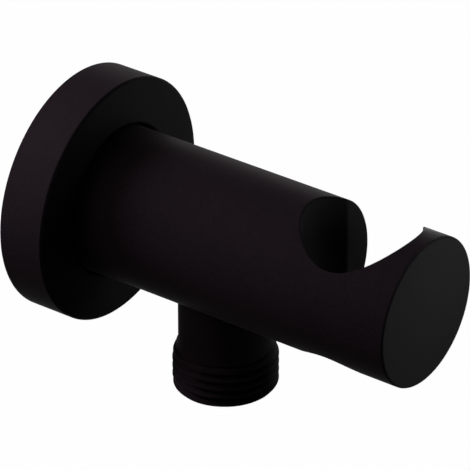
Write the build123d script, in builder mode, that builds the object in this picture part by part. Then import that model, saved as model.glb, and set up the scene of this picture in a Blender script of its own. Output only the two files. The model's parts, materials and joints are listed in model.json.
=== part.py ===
from build123d import *
import os
from math import radians, tan

# Wall outlet elbow with a handset seat, in millimetres.
# Frame: +Z is up, the wall is the plane Y = 0 and the bar stands out of it along -Y.
# The origin is on the bar's axis at the wall.

# Bar
bar_diameter = 30.0
bar_projection = 82.0  # wall to end face
bar_setback = 1.0  # wall to the bar's hidden rear face
bar_edge_radius = 0.4  # round the end face
bar_rear_chamfer = 0.5

# Handset seat, a hole across the bar that opens sideways into a slot for the hose
seat_diameter = 23.0
seat_distance = 67.0  # wall to the seat's axis
slot_width = 17.0
seat_corner_radius = 1.2  # where the slot's sides run into the hole
seat_edge_chamfer = 0.2

# Waterway, drilled from the rear and met from below by the outlet's narrower bore
waterway_diameter = 14.0
outlet_bore_diameter = 12.0
waterway_overrun = 7.0  # full bore past the outlet's axis
drill_point_angle = 118.0

# Parallel half inch pipe thread, drawn at its full diameter inside and out
thread_diameter = 20.955
thread_chamfer = 0.8

# Inlet, a threaded socket in the bar's rear face
inlet_thread_depth = 14.0

# Outlet nipple, its shank screwed into the bar's underside
outlet_distance = 35.5  # wall to the outlet's axis
outlet_shank_diameter = 18.6
outlet_shank_clearance = 0.05
outlet_shank_chamfer = 0.5
outlet_socket_depth = 6.5  # up from the bar's underside
outlet_neck_length = 7.4  # bar's underside to the cone above the thread
outlet_cone_length = 3.2
outlet_thread_length = 7.1  # thread and end chamfer
outlet_bore_chamfer = 0.5

# Wall rose, a turned disc with a hollow back and a collar round the bar
rose_diameter = 50.0
rose_depth = 10.0
rose_front_wall = 3.0
rose_rim_wall = 2.5
rose_collar_wall = 2.0
rose_collar_setback = 1.5  # wall to the collar's rear face
rose_bar_clearance = 0.6
rose_edge_chamfer = 0.4
rose_bore_chamfer = 0.3

# Rubber ring of square section that grips the bar inside the collar
ring_section = 2.0
ring_distance = 4.3  # wall to the ring's middle
ring_clearance = 0.05
groove_side_clearance = 0.15

# Sizes worked out from those above
bar_radius = bar_diameter / 2
seat_radius = seat_diameter / 2
waterway_radius = waterway_diameter / 2
outlet_bore_radius = outlet_bore_diameter / 2
thread_radius = thread_diameter / 2
shank_radius = outlet_shank_diameter / 2
drill_point_length = waterway_radius / tan(radians(drill_point_angle / 2))
outlet_cone_end = outlet_neck_length + outlet_cone_length
outlet_end = outlet_cone_end + outlet_thread_length

rear_plane = Plane(origin=(0, -bar_setback, 0), x_dir=(1, 0, 0), z_dir=(0, 1, 0))
waterway_end_plane = Plane(
    origin=(0, -outlet_distance - waterway_overrun, 0), x_dir=(1, 0, 0), z_dir=(0, -1, 0)
)
underside_plane = Plane(origin=(0, -outlet_distance, -bar_radius), x_dir=(1, 0, 0), z_dir=(0, 0, -1))

# Bar with its seat, slot and waterway
with BuildPart() as bar_body:
    with BuildSketch(Plane.XZ.offset(bar_setback)):
        Circle(bar_radius)
    extrude(amount=bar_projection - bar_setback)
    end_edge, rear_edge = bar_body.edges().filter_by(GeomType.CIRCLE).sort_by(Axis.Y)
    fillet(end_edge, bar_edge_radius)
    chamfer(rear_edge, bar_rear_chamfer)

    with BuildSketch(Plane.XY) as seat:
        with Locations((0, -seat_distance)):
            Circle(seat_radius)
            Rectangle(bar_diameter, slot_width, align=(Align.MIN, Align.CENTER))
        fillet(seat.vertices().group_by(Axis.X)[-2], seat_corner_radius)
    extrude(amount=bar_diameter, both=True, mode=Mode.SUBTRACT)
    seat_rim = bar_body.edges(Select.LAST).filter_by(GeomType.LINE, reverse=True)
    chamfer(seat_rim, seat_edge_chamfer)

    with Locations(rear_plane):
        CounterBoreHole(
            radius=waterway_radius,
            counter_bore_radius=thread_radius,
            counter_bore_depth=inlet_thread_depth,
            depth=outlet_distance + waterway_overrun - bar_setback,
        )
    rear_rims = bar_body.edges().filter_by(GeomType.CIRCLE).group_by(Axis.Y)[-1]
    chamfer(rear_rims.sort_by(SortBy.RADIUS)[0], thread_chamfer)
    with Locations(waterway_end_plane):
        Cone(
            waterway_radius,
            0,
            drill_point_length,
            align=(Align.CENTER, Align.CENTER, Align.MIN),
            mode=Mode.SUBTRACT,
        )
    with Locations(underside_plane):
        CounterBoreHole(
            radius=outlet_bore_radius,
            counter_bore_radius=shank_radius + outlet_shank_clearance,
            counter_bore_depth=outlet_socket_depth,
            depth=bar_radius,
        )

# Outlet nipple, seated in the socket under the bar; in its half section y runs down from the underside
with BuildPart() as outlet_nipple:
    with BuildSketch(Plane(underside_plane.origin, x_dir=(1, 0, 0), z_dir=(0, 1, 0))):
        with BuildLine():
            Polyline(
                (outlet_bore_radius, -outlet_socket_depth),
                (shank_radius - outlet_shank_chamfer, -outlet_socket_depth),
                (shank_radius, outlet_shank_chamfer - outlet_socket_depth),
                (shank_radius, outlet_neck_length),
                (thread_radius, outlet_cone_end),
                (thread_radius, outlet_end - thread_chamfer),
                (thread_radius - thread_chamfer, outlet_end),
                (outlet_bore_radius + outlet_bore_chamfer, outlet_end),
                (outlet_bore_radius, outlet_end - outlet_bore_chamfer),
                close=True,
            )
        make_face()
    revolve(axis=Axis(underside_plane.origin, (0, 0, 1)))

# Rubber ring, between the bar and the bottom of its groove
ring_radius = bar_radius + ring_clearance + ring_section / 2
with BuildPart() as rose_seal_ring:
    with BuildSketch(Plane.XY):
        with Locations((ring_radius, -ring_distance)):
            Rectangle(ring_section, ring_section)
    revolve(axis=Axis.Y)

# Wall rose, its rear rim on the wall
rose_radius = rose_diameter / 2
rose_bore_radius = bar_radius + rose_bar_clearance
groove_radius = ring_radius + ring_section / 2 + ring_clearance
collar_radius = groove_radius + rose_collar_wall
with BuildPart() as wall_rose:
    with BuildSketch(Plane.XY):
        with BuildLine():
            Polyline(
                (rose_radius, 0),
                (rose_radius, -rose_depth),
                (rose_bore_radius, -rose_depth),
                (rose_bore_radius, -rose_collar_setback),
                (collar_radius, -rose_collar_setback),
                (collar_radius, rose_front_wall - rose_depth),
                (rose_radius - rose_rim_wall, rose_front_wall - rose_depth),
                (rose_radius - rose_rim_wall, 0),
                close=True,
            )
        make_face()
        with Locations((rose_bore_radius, -ring_distance)):
            Rectangle(
                2 * (groove_radius - rose_bore_radius),
                ring_section + 2 * groove_side_clearance,
                mode=Mode.SUBTRACT,
            )
    revolve(axis=Axis.Y)
    front_edges = wall_rose.edges().filter_by(GeomType.CIRCLE).group_by(Axis.Y)[0].sort_by(SortBy.RADIUS)
    chamfer(front_edges[0], rose_bore_chamfer)
    chamfer(front_edges[-1], rose_edge_chamfer)

os.makedirs("parts", exist_ok=True)
bar_body.part.label = "bar_body"
export_step(bar_body.part, "parts/bar_body.step")
outlet_nipple.part.label = "outlet_nipple"
export_step(outlet_nipple.part, "parts/outlet_nipple.step")
rose_seal_ring.part.label = "rose_seal_ring"
export_step(rose_seal_ring.part, "parts/rose_seal_ring.step")
wall_rose.part.label = "wall_rose"
export_step(wall_rose.part, "parts/wall_rose.step")
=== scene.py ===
# %% [markdown]
# # A matt black wall outlet elbow
# A wall outlet elbow brings water out of a bathroom wall to a shower hose, and holds the hand shower.
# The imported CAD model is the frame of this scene. Its bar and its cover rose are shown as they are,
# because their shapes are whole and their meshes carry the true normals of the solids. What the solids
# leave out is added here: the two pipe threads, the squeeze of the ring, the coat and the light.

# %% Load the frame
import json
import math

import bpy
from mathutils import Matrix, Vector


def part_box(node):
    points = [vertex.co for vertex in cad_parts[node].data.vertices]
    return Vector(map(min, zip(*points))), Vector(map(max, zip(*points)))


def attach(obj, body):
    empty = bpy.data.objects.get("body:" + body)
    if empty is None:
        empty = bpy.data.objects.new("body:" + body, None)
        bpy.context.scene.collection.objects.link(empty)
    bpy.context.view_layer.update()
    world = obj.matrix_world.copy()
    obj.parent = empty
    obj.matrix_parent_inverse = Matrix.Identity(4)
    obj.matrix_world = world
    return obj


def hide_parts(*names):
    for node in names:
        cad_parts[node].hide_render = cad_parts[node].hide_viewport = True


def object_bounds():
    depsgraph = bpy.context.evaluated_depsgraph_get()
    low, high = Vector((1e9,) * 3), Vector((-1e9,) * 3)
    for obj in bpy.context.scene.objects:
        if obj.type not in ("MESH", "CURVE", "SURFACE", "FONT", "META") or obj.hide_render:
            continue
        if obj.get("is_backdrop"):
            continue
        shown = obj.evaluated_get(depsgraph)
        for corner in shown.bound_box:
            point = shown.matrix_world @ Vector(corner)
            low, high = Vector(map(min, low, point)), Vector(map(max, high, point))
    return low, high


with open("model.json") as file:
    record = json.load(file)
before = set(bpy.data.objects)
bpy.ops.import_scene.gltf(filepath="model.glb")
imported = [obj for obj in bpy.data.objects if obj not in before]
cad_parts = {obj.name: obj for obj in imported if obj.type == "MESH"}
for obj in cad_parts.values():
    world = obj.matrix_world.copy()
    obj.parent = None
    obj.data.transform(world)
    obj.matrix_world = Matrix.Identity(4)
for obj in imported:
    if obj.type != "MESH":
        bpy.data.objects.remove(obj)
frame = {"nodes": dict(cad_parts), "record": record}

MM = 0.001
cad_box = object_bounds()


def in_mm(*lengths):
    """Lengths in millimetres, rounded for printing."""
    return [round(length / MM, 2) for length in lengths]


print("CAD box, mm:", in_mm(*cad_box[0]), "to", in_mm(*cad_box[1]))

# %% [markdown]
# ## Where the threads go
# The record names the two places where pipes screw on: the outlet under the bar and the inlet in its
# rear face. Reading the axis and the crest radius from there keeps the threads on the CAD's own axes,
# so nothing has to be fitted by eye.

# %% Read the two pipe ends
mounts = {mount["name"]: mount for mount in frame["record"]["mounts"]}
crest_radius = mounts["outlet_thread"]["dims"]["r_mm"] * MM
outlet_axis = Vector(mounts["outlet_thread"]["pos_m"])
outlet_axis.z = 0
inlet_axis = Vector((0, 0, 0))
inlet_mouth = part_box("bar_body")[1].y
print("outlet axis at y", in_mm(outlet_axis.y), "inlet mouth at y", in_mm(inlet_mouth))
print("crests", in_mm(crest_radius), "from the axis")

# %% [markdown]
# ## The section of a pipe thread
# A half inch pipe thread has 14 turns to the inch. Its flanks stand at 55 degrees to each other, and
# its crests and roots are rounded by the same radius, so a groove cut outside has the same section as
# the ridge left inside. One list of corners therefore serves both ends. It could be typed in from a
# table, but a formula says where each corner comes from. The standard gives the rounding and the depth
# as shares of the pitch. The arcs stop just short of the crest's top, so that one turn never touches
# the next.

# %% Work out the section
INCH = 25.4 * MM
turns_per_inch = 14
flank_angle = math.radians(55)
rounding_share = 0.137329
depth_share = 0.640327

pitch = INCH / turns_per_inch
rounding = rounding_share * pitch
thread_depth = depth_share * pitch
root_radius = crest_radius - thread_depth
flank_turn = (math.pi - flank_angle) / 2
crest_stop = math.radians(20)
arc_steps = 4


def arc_turns(first, last):
    """Angles spread evenly over an arc, with both ends."""
    return [first + (last - first) * step / arc_steps for step in range(arc_steps + 1)]


def thread_section(past_crest):
    """Corners of one groove as radius and place along the axis, with its open side past the crests."""
    half = [(crest_radius + past_crest, pitch / 2 - rounding * math.sin(crest_stop))]
    for turn in arc_turns(crest_stop, flank_turn):
        drop = rounding * (1 - math.cos(turn))
        half.append((crest_radius - drop, pitch / 2 - rounding * math.sin(turn)))
    for turn in arc_turns(flank_turn, 0):
        rise = rounding * (1 - math.cos(turn))
        half.append((root_radius + rise, rounding * math.sin(turn)))
    return half + [(radius, -along) for radius, along in reversed(half[:-1])]


print("pitch", in_mm(pitch), "depth", in_mm(thread_depth), "corners", len(thread_section(0)))

# %% [markdown]
# ## Starting and closing a mesh
# Every new piece starts as a primitive and is shaped in edit mode. An operator acts on all that is
# selected, and the loaded CAD nodes still are, so everything is deselected first. At the end the
# doubles are welded, the faces are turned outwards and the object's place goes into its mesh, which
# leaves the object at the origin like the CAD nodes.

# %% Start and close a piece
weld_distance = 0.001 * MM


def start_piece(name, add_primitive, **settings):
    """Adds one primitive, with nothing else selected, and opens it in edit mode."""
    bpy.ops.object.select_all(action="DESELECT")
    add_primitive(**settings)
    piece = bpy.context.object
    piece.name = piece.data.name = name
    bpy.ops.object.mode_set(mode="EDIT")
    return piece


def close_piece(piece):
    """Welds the mesh, turns its faces outwards and applies the object's place."""
    bpy.ops.mesh.select_all(action="SELECT")
    bpy.ops.mesh.remove_doubles(threshold=weld_distance)
    bpy.ops.mesh.normals_make_consistent(inside=False)
    bpy.ops.object.mode_set(mode="OBJECT")
    bpy.ops.object.transform_apply(location=True, rotation=True, scale=True)
    print(piece.name, "has", len(piece.data.polygons), "faces")
    return piece


# %% [markdown]
# ## A turned piece
# A lathe makes a piece from circles of different sizes along one axis. It could be drawn as a profile
# and spun. Here a circle is extruded and resized from ring to ring instead, because each step is then
# one size of the real piece, and the last step comes back to the first ring and closes the mesh.

# %% Grow a turned piece ring by ring
turned_sides = 128


def axis_vector(axis_name):
    """The unit vector along X, Y or Z."""
    return Vector([float(letter == axis_name) for letter in "XYZ"])


def turn_piece(name, axis_point, axis_name, rings):
    """A closed turned piece about an axis, from its rings as radius and place along the axis."""
    along = axis_vector(axis_name)
    radius, place = rings[0]
    piece = start_piece(
        name, bpy.ops.mesh.primitive_circle_add, vertices=turned_sides, radius=radius,
        location=axis_point + along * place, rotation=along.to_track_quat("Z", "Y").to_euler(),
    )
    for next_radius, next_place in rings[1:] + rings[:1]:
        bpy.ops.mesh.extrude_region_move(TRANSFORM_OT_translate={"value": along * (next_place - place)})
        scale = next_radius / radius
        bpy.ops.transform.resize(
            value=[1 if part else scale for part in along], center_override=axis_point + along * next_place
        )
        radius, place = next_radius, next_place
    return close_piece(piece)


# %% [markdown]
# ## A thread is a wound outline
# On a bench a die or a tap cuts one groove that climbs by the pitch in each turn. The Screw modifier
# does the same with an outline: it turns it about an axis and moves it along as it goes. The outline
# itself is drawn by extruding a single vertex from corner to corner. Pipe threads are right-handed,
# which the code tests on the first step that the modifier made.

# %% Wind an outline along an axis
helix_steps = 96


def wind_thread(name, axis_point, axis_name, section, turns):
    """A closed solid: an outline beside the axis, wound along it for a whole number of turns."""
    along = axis_vector(axis_name)
    corners = [Vector((radius, 0, 0)) + along * place for radius, place in section]
    piece = start_piece(name, bpy.ops.mesh.primitive_plane_add, size=pitch, location=axis_point)
    bpy.ops.mesh.merge(type="CENTER")
    bpy.ops.transform.translate(value=corners[0])
    for here, there in zip(corners, corners[1:] + corners[:1]):
        bpy.ops.mesh.extrude_region_move(TRANSFORM_OT_translate={"value": there - here})
    bpy.ops.mesh.select_all(action="SELECT")
    bpy.ops.mesh.remove_doubles(threshold=weld_distance)
    bpy.ops.object.mode_set(mode="OBJECT")

    screw = piece.modifiers.new("wind", "SCREW")
    screw.axis = axis_name
    screw.steps = screw.render_steps = helix_steps
    screw.iterations = turns
    screw.screw_offset = pitch
    bpy.ops.object.modifier_apply(modifier=screw.name)
    first, second = (piece.data.vertices[step * len(corners)].co for step in range(2))
    turned = first.cross(second).dot(along)
    climbed = (second - first).dot(along)
    print(name, "is right-handed:", turned * climbed > 0)

    bpy.ops.object.mode_set(mode="EDIT")
    bpy.ops.mesh.select_all(action="SELECT")
    bpy.ops.mesh.fill_holes(sides=0)
    return close_piece(piece)


# %% [markdown]
# ## Cutting metal
# A cut takes away whatever the tool passes through. The Boolean modifier does that with another mesh
# as the tool, which is thrown away afterwards.

# %% Cut one piece with another
def cut_piece(piece, cutter):
    """Takes the cutter's shape out of a piece and throws the cutter away."""
    cut = piece.modifiers.new("cut", "BOOLEAN")
    cut.operation = "DIFFERENCE"
    cut.object = cutter
    bpy.context.view_layer.objects.active = piece
    bpy.ops.object.modifier_apply(modifier=cut.name)
    bpy.data.objects.remove(cutter)
    print(piece.name, "has", len(piece.data.polygons), "faces after the cut")


# %% [markdown]
# ## The hose outlet
# On the real elbow the outlet is a turned nipple: a smooth neck, a short cone and a few turns of
# thread. The CAD nipple is the blank before the die cuts it, so its own corner circles give the rings.

# %% Read the blank's rings from the CAD nipple
def blank_rings(node, axis_point):
    """Corner circles of a turned node, down its outside and up its bore."""
    rings = {}
    for vertex in frame["nodes"][node].data.vertices:
        radius = (vertex.co - axis_point).xy.length
        rings[tuple(in_mm(radius, vertex.co.z))] = (radius, vertex.co.z)
    bore_radius = min(ring[0] for ring in rings.values())
    in_bore = [ring for ring in rings.values() if ring[0] - bore_radius < weld_distance]
    outside = [ring for ring in rings.values() if ring not in in_bore]
    outside.sort(key=lambda ring: (-ring[1], -ring[0]))
    in_bore.sort(key=lambda ring: ring[1])
    return outside + in_bore


nipple_rings = blank_rings("outlet_nipple", outlet_axis)
print("nipple rings, mm:", [tuple(in_mm(*ring)) for ring in nipple_rings])

# %% [markdown]
# The groove starts below the nipple's end and runs out on the cone by itself, because the neck is
# thinner than the thread's roots. Where a crest stands round the axis follows the photograph: one of
# them faces the camera 26.35 mm below the bar's axis, and the groove lies half a turn from a crest.

# %% Turn the nipple and cut its thread
camera_azimuth = math.radians(-54.24)
facing_crest = -26.35 * MM
facing_turn = (camera_azimuth - math.pi / 2) / math.tau
groove_turns = 7
turns_below_crest = 4.5
groove_start = facing_crest - pitch * (facing_turn + turns_below_crest)
groove_overlap = 0.3 * MM

hose_nipple = turn_piece("hose_nipple", outlet_axis, "Z", nipple_rings)
groove_section = [(radius, place + groove_start) for radius, place in thread_section(groove_overlap)]
hose_groove = wind_thread("hose_groove", outlet_axis, "Z", groove_section, groove_turns)
cut_piece(hose_nipple, hose_groove)
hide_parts("outlet_nipple")

# %% [markdown]
# ## The inlet's thread
# Behind the rose the bar screws onto a pipe end, so the socket in its rear face has the same thread
# inside. The bar itself stays the CAD's. One ridge is wound along its axis, sunk a hair into the
# socket's wall so that no gap shows. A real thread has no blunt ends: it fades out in the chamfer at
# the mouth and again in the relief before the socket's bottom. So the ridge is wound past both places,
# and a cone of 45 degrees trims it at each.

# %% Wind the ridge
ridge_sink = 0.02 * MM
ridge_turns = 8
threaded_length = 13 * MM
relief_place = inlet_mouth - threaded_length
ridge_start = relief_place - pitch / 2

ridge_section = [(radius, place + ridge_start) for radius, place in thread_section(ridge_sink)]
inlet_ridge = wind_thread("inlet_ridge", inlet_axis, "Y", ridge_section, ridge_turns)

# %% Trim both ends of the ridge
mouth_chamfer = 0.8 * MM
cone_reach = 3 * MM
quarter_turn = math.radians(90)


def trim_ridge(name, radius, place, wide_side):
    """Cuts the ridge with a cone of 45 degrees that has the given radius at a place along the axis."""
    cone = start_piece(
        name, bpy.ops.mesh.primitive_cone_add, vertices=turned_sides,
        radius1=radius + cone_reach, radius2=radius - cone_reach, depth=2 * cone_reach,
        location=(0, place, 0), rotation=(wide_side * quarter_turn, 0, 0),
    )
    cut_piece(inlet_ridge, close_piece(cone))


trim_ridge("mouth_cone", crest_radius + mouth_chamfer, inlet_mouth, 1)
trim_ridge("relief_cone", crest_radius, relief_place, -1)
ridge_places = [vertex.co.y for vertex in inlet_ridge.data.vertices]
print("ridge spans y", in_mm(min(ridge_places), max(ridge_places)))

# %% [markdown]
# ## The squeezed ring
# A rubber ring in the rose's bore grips the bar, so that the rose stays where it is pushed. The CAD
# draws it unsqueezed, a hair clear of the bar and of its groove, and from the front daylight would
# show through that hair. The ring is turned again here as it sits, pressed against both, with the
# softened corners of a moulded ring. It is sunk by a trace, because both meshes are many-sided.

# %% Turn the squeezed ring
ring_low, ring_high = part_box("rose_seal_ring")
ring_clearance = 0.05 * MM
ring_sink = 0.03 * MM
ring_corner = 0.3 * MM

ring_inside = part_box("bar_body")[1].x - ring_sink
ring_outside = ring_high.x + ring_clearance + ring_sink
ring_front, ring_rear = ring_low.y, ring_high.y
ring_rings = [
    (ring_inside, ring_front + ring_corner),
    (ring_inside, ring_rear - ring_corner),
    (ring_inside + ring_corner, ring_rear),
    (ring_outside - ring_corner, ring_rear),
    (ring_outside, ring_rear - ring_corner),
    (ring_outside, ring_front + ring_corner),
    (ring_outside - ring_corner, ring_front),
    (ring_inside + ring_corner, ring_front),
]
squeezed_ring = turn_piece("squeezed_ring", inlet_axis, "Y", ring_rings)
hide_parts("rose_seal_ring")
print("ring from", in_mm(ring_inside), "to", in_mm(ring_outside), "mm from the axis")

# %% [markdown]
# ## Smooth surfaces and sharp edges
# The threads are cut metal, with smooth flanks and crisp ends. Smoothing by angle keeps an edge sharp
# where two faces turn by more than 30 degrees and blends all the others. Each piece then rides the
# only body there is, because nothing on this elbow moves, and is paired with the name of its slot.

# %% Smooth the new pieces and let them ride
smooth_below = math.radians(30)
slots = {hose_nipple: "black_coat", inlet_ridge: "black_coat", squeezed_ring: "ring_rubber"}
for piece, slot in slots.items():
    bpy.ops.object.select_all(action="DESELECT")
    piece.select_set(True)
    bpy.context.view_layer.objects.active = piece
    bpy.ops.object.shade_smooth_by_angle(angle=smooth_below)
    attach(piece, "root")
    print(piece.name, "rides root in slot", slot)

# %% [markdown]
# ## Shader maths as Python
# A material is a graph of nodes. One small class wraps a node's output, so that sums and products of
# outputs read as expressions, and every other node comes from one method. The class knows only the
# operators that the finishes below use.

# %% Wrap a socket
class Socket:
    """An output of a node, with Python's operators as Math nodes."""

    def __init__(self, tree, output=None):
        self.tree = tree
        self.output = output

    def node(self, kind, settings=None, inputs=None, output=0):
        """Adds a node: its settings first, then the values or links of its sockets."""
        made = self.tree.nodes.new(kind)
        for name, value in (settings or {}).items():
            setattr(made, name, value)
        for name, value in (inputs or {}).items():
            if isinstance(value, Socket):
                self.tree.links.new(value.output, made.inputs[name])
            else:
                made.inputs[name].default_value = value
        return Socket(self.tree, made.outputs[output] if len(made.outputs) else None)

    def math(self, operation, first, second):
        """A Math node on two values."""
        return self.node("ShaderNodeMath", {"operation": operation}, {0: first, 1: second})

    def __add__(self, other):
        return self.math("ADD", self, other)

    __radd__ = __add__

    def __sub__(self, other):
        return self.math("SUBTRACT", self, other)

    def __mul__(self, other):
        return self.math("MULTIPLY", self, other)

    __rmul__ = __mul__


# %% [markdown]
# Every finish below starts from an empty material. Its patterns use the object's own coordinates, so
# that they stay put on a piece and keep their size in millimetres. A Mix node has sockets for numbers,
# vectors and colours side by side, so the colour ones are picked by their number.

# %% Start a material
mix_factor = 0
mix_first = 6
mix_second = 7
mix_result = 2
fine_detail = 2
noise_middle = 0.5


def start_material(name):
    """An empty node material, and a socket with the object's own coordinates."""
    material = bpy.data.materials.new(name)
    material.use_nodes = True
    tree = material.node_tree
    tree.nodes.clear()
    return material, Socket(tree).node("ShaderNodeTexCoord", output="Object")


def noise(place, size, detail=fine_detail):
    """Noise from 0 to 1 whose spots are about as large as size."""
    return place.node("ShaderNodeTexNoise", {}, {"Vector": place, "Scale": 1 / size, "Detail": detail})


def mix_colours(factor, first, second):
    """A colour between two, by a factor from 0 to 1."""
    inputs = {mix_factor: factor, mix_first: first, mix_second: second}
    return factor.node("ShaderNodeMix", {"data_type": "RGBA"}, inputs, mix_result)


def finish_material(material, shader):
    """Links a shader to the material's output and prints the size of its graph."""
    shader.node("ShaderNodeOutputMaterial", {}, {"Surface": shader})
    print(material.name, "has", len(material.node_tree.nodes), "nodes")


# %% [markdown]
# ## The matt coat
# The brass is sprayed and baked matt black. Such a coat isn't one flat black: its tone drifts a little
# over a few millimetres, its surface has a faint orange peel, and a fine grain speckles its tone and
# makes its gloss uneven. Noise of three sizes gives all of that. A Bevel node rounds the shading of
# sharp edges by as much as a coat rounds them, and feeds the bump. The coat reflects very little,
# because its grain scatters the light, so its specular level is low.

# %% Make the coat
coat_dark = (0.0065, 0.0054, 0.0061, 1)
coat_light = (0.0195, 0.0162, 0.0183, 1)
cloud_share = 0.22
coat_roughness = 0.5
grain_swing = 0.08
cloud_swing = 0.06
coat_specular = 0.002
cloud_size = 9 * MM
cloud_detail = 3
peel_size = 1.4 * MM
grain_size = 0.5 * MM
grain_share = 0.5
relief_height = 0.004 * MM
coat_edge = 0.3 * MM
bevel_samples = 6

coat, place = start_material("matt_black")
cloud = noise(place, cloud_size, cloud_detail)
peel = noise(place, peel_size)
grain = noise(place, grain_size)
tone = cloud * cloud_share + grain * (1 - cloud_share)
unevenness = grain_swing * (grain - noise_middle) + cloud_swing * (cloud - noise_middle)
edges = place.node("ShaderNodeBevel", {"samples": bevel_samples}, {"Radius": coat_edge})
relief = place.node("ShaderNodeBump", {}, {
    "Height": grain * grain_share + peel,
    "Distance": relief_height,
    "Normal": edges,
})
finish_material(coat, place.node("ShaderNodeBsdfPrincipled", {}, {
    "Base Color": mix_colours(tone, coat_dark, coat_light),
    "Roughness": coat_roughness + unevenness,
    "Specular IOR Level": coat_specular,
    "Normal": relief,
}))

# %% [markdown]
# ## The rubber ring
# The ring in the rose's bore is plain black rubber, a little greyer and softer in gloss than the coat.
# It shows only as a dark line from behind, so one noise is enough for its tone, gloss and relief.

# %% Make the rubber
rubber_dark = (0.016, 0.016, 0.016, 1)
rubber_light = (0.024, 0.024, 0.024, 1)
rubber_roughness = 0.7
mottle_swing = 0.15
rubber_specular = 0.2
mottle_size = 0.6 * MM
mottle_height = 0.01 * MM

rubber, place = start_material("soft_rubber")
mottle = noise(place, mottle_size)
finish_material(rubber, place.node("ShaderNodeBsdfPrincipled", {}, {
    "Base Color": mix_colours(mottle, rubber_dark, rubber_light),
    "Roughness": rubber_roughness + mottle_swing * (mottle - noise_middle),
    "Specular IOR Level": rubber_specular,
    "Normal": place.node("ShaderNodeBump", {}, {"Height": mottle, "Distance": mottle_height}),
}))

# %% [markdown]
# ## Dressing the pieces
# A CAD node already has a material slot, so only what is in the slot changes. A new piece has none
# yet and gets its first.

# %% Dress the pieces
for node in ("bar_body", "wall_rose"):
    frame["nodes"][node].material_slots[0].material = coat
    print(node, "wears", coat.name)
finishes = {"black_coat": coat, "ring_rubber": rubber}
for piece, slot in slots.items():
    piece.data.materials.append(finishes[slot])
    print(piece.name, "wears", finishes[slot].name)

# %% [markdown]
# ## The camera
# The photograph was taken with a long lens from the left, looking down at the elbow by about 31 degrees.
# The angles, the distance and the lens were found by laying the solids' outline over the photograph's
# outline. Blender counts lens and sensor in millimetres.

# %% Place the camera
camera_elevation = math.radians(30.79)
camera_distance = 834.91 * MM
camera_target = Vector((42.92, -6.84, -30.0)) * MM
camera_lens = 308.31
sensor_width = 36
near_clip = 10 * MM

towards_camera = Vector((
    math.sin(camera_azimuth) * math.cos(camera_elevation),
    -math.cos(camera_azimuth) * math.cos(camera_elevation),
    math.sin(camera_elevation),
))
bpy.ops.object.camera_add(
    location=camera_target + towards_camera * camera_distance,
    rotation=towards_camera.to_track_quat("Z", "Y").to_euler(),
)
camera = bpy.context.object
camera.data.sensor_width = sensor_width
camera.data.lens = camera_lens
camera.data.clip_start = near_clip
bpy.context.scene.camera = camera
print("camera at, mm:", in_mm(*camera.location))

# %% [markdown]
# ## The white surround
# The photograph's background is plain white. A white room that lit the elbow from all sides would turn
# its dark underside grey, so Light Path tells the rays apart: the camera and reflections see white,
# while the rays that carry soft light see a dim room. The floor lies well below, because the elbow
# hangs on a wall, and it keeps a little of its own shading.

# %% Tell the rays apart
def seen_directly(start):
    """1 for camera, glossy and transmission rays, 0 for the rays that carry diffuse light."""
    kinds = ("Is Camera Ray", "Is Glossy Ray", "Is Transmission Ray")
    camera_ray, glossy_ray, through_ray = (start.node("ShaderNodeLightPath", output=kind) for kind in kinds)
    return start.math("MAXIMUM", start.math("MAXIMUM", camera_ray, glossy_ray), through_ray)


# %% Lay the floor
floor_depth = 1200 * MM
floor_size = 40000 * MM
white_strength = 1.0
floor_shading = 0.01
floor_pale = (0.8, 0.8, 0.8, 1)
floor_dim = (0.1, 0.1, 0.1, 1)

bpy.ops.object.select_all(action="DESELECT")
bpy.ops.mesh.primitive_plane_add(size=floor_size, location=(0, 0, -floor_depth))
floor = bpy.context.object
floor.name = "floor"
floor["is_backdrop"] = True
floor_paint, place = start_material("floor_paint")
white = place.node("ShaderNodeEmission", {}, {"Strength": white_strength})
pale = place.node("ShaderNodeBsdfDiffuse", {}, {"Color": floor_pale})
bright = place.node("ShaderNodeMixShader", {}, {0: floor_shading, 1: white, 2: pale})
dim = place.node("ShaderNodeBsdfDiffuse", {}, {"Color": floor_dim})
lit = place.node("ShaderNodeMixShader", {}, {0: seen_directly(place), 1: dim, 2: bright})
finish_material(floor_paint, lit)
floor.data.materials.append(floor_paint)
print("floor", in_mm(floor_depth), "mm down")

# %% Make the world
room_fill = 0.05
room_colour = (1, 1, 1, 1)

world = bpy.data.worlds.new("studio")
bpy.context.scene.world = world
world.use_nodes = True
world.node_tree.nodes.clear()
start = Socket(world.node_tree)
dim_room = start.node("ShaderNodeBackground", {}, {"Color": room_colour, "Strength": room_fill})
white_room = start.node("ShaderNodeBackground", {}, {"Color": room_colour, "Strength": white_strength})
room = start.node("ShaderNodeMixShader", {}, {0: seen_directly(start), 1: dim_room, 2: white_room})
start.node("ShaderNodeOutputWorld", {}, {"Surface": room})
print(world.name, "fills shadows at", room_fill)

# %% [markdown]
# ## The lamps
# Soft round lamps stand round the elbow. Each is set by the place that it shines at, by its direction
# and by a level: at a level of 1 it would light a white card that faces it to plain white, so the
# numbers say how strong the light is whatever the lamp's distance.

# %% Set up the lamps
def softbox(name, aim, direction, distance, level, tint=(1, 1, 1)):
    """A round soft lamp, half as wide as it is far away."""
    towards_lamp = Vector(direction).normalized()
    bpy.ops.object.light_add(
        type="AREA", location=aim + towards_lamp * distance,
        rotation=towards_lamp.to_track_quat("Z", "Y").to_euler(),
    )
    lamp = bpy.context.object
    lamp.name = lamp.data.name = name
    lamp.data.shape = "DISK"
    lamp.data.size = distance / 2
    lamp.data.energy = level * (math.pi * distance) ** 2
    lamp.data.color = tint
    lamp.visible_camera = False
    print(name, "at level", level)


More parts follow.
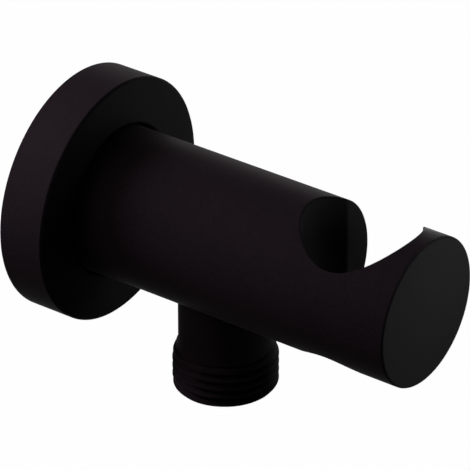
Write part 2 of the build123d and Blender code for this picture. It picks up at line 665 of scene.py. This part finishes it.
# %% [markdown]
# In the photograph most light comes from behind on the left. It runs along the bar, and the rose throws
# a soft shadow onto it. This light is a little pink. Two small, greenish lamps stand close: one lights
# the end face and hardly reaches the rose, and one lights the rose's front from the right, so that it
# fades to black on the left. A larger one, low on the right, reaches into the seat through the slot.
# The plain lamps on the right draw a thin light edge along the top, and mostly light what the
# photograph doesn't show, so that the elbow can be looked at from that side too.

# %% Place the lamps
at_rose = Vector((0, -5, 0)) * MM
at_rose_front = Vector((20, -10, 10)) * MM
at_middle = Vector((0, -40, 0)) * MM
at_end = Vector((0, -82, 0)) * MM
far_away = 600 * MM
slot_distance = 260 * MM
rear_distance = 200 * MM
rose_front_distance = 60 * MM
end_distance = 40 * MM
rear_tint = (1, 0.82, 0.94)
front_tint = (0.87, 1, 0.91)

softbox("rear_softbox", at_rose, (-0.17, 0.97, 0.17), rear_distance, 0.81, rear_tint)
softbox("rear_left_softbox", at_rose, (-0.41, 0.71, 0.57), rear_distance, 0.81, rear_tint)
softbox("left_softbox", at_rose, (-0.77, 0.28, 0.57), rear_distance, 0.18, rear_tint)
softbox("rear_top_softbox", at_middle, (-0.16, 0.87, 0.46), far_away, 0.48, rear_tint)
softbox("end_softbox", at_end, (0.3, -0.85, 0.43), end_distance, 0.82, front_tint)
softbox("rose_front_softbox", at_rose_front, (0.9, -0.4, -0.2), rose_front_distance, 0.5, front_tint)
softbox("low_right_softbox", at_middle, (0.62, -0.66, -0.43), slot_distance, 0.2, front_tint)
softbox("rear_right_softbox", at_middle, (0.91, 0.39, 0.15), far_away, 0.36)
softbox("right_softbox", at_middle, (0.96, 0.05, 0.26), far_away, 0.25)

# %% [markdown]
# ## Finish
# The Standard view shows colours as they are written. Both boxes are gathered in one dictionary, and
# the dressed model's box is printed.

# %% Gather the sizes and finish
bpy.context.scene.view_settings.view_transform = "Standard"
boxes = {"cad_box": cad_box, "visual_box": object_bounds()}
print("visual box, mm:", in_mm(*boxes["visual_box"][0]), "to", in_mm(*boxes["visual_box"][1]))
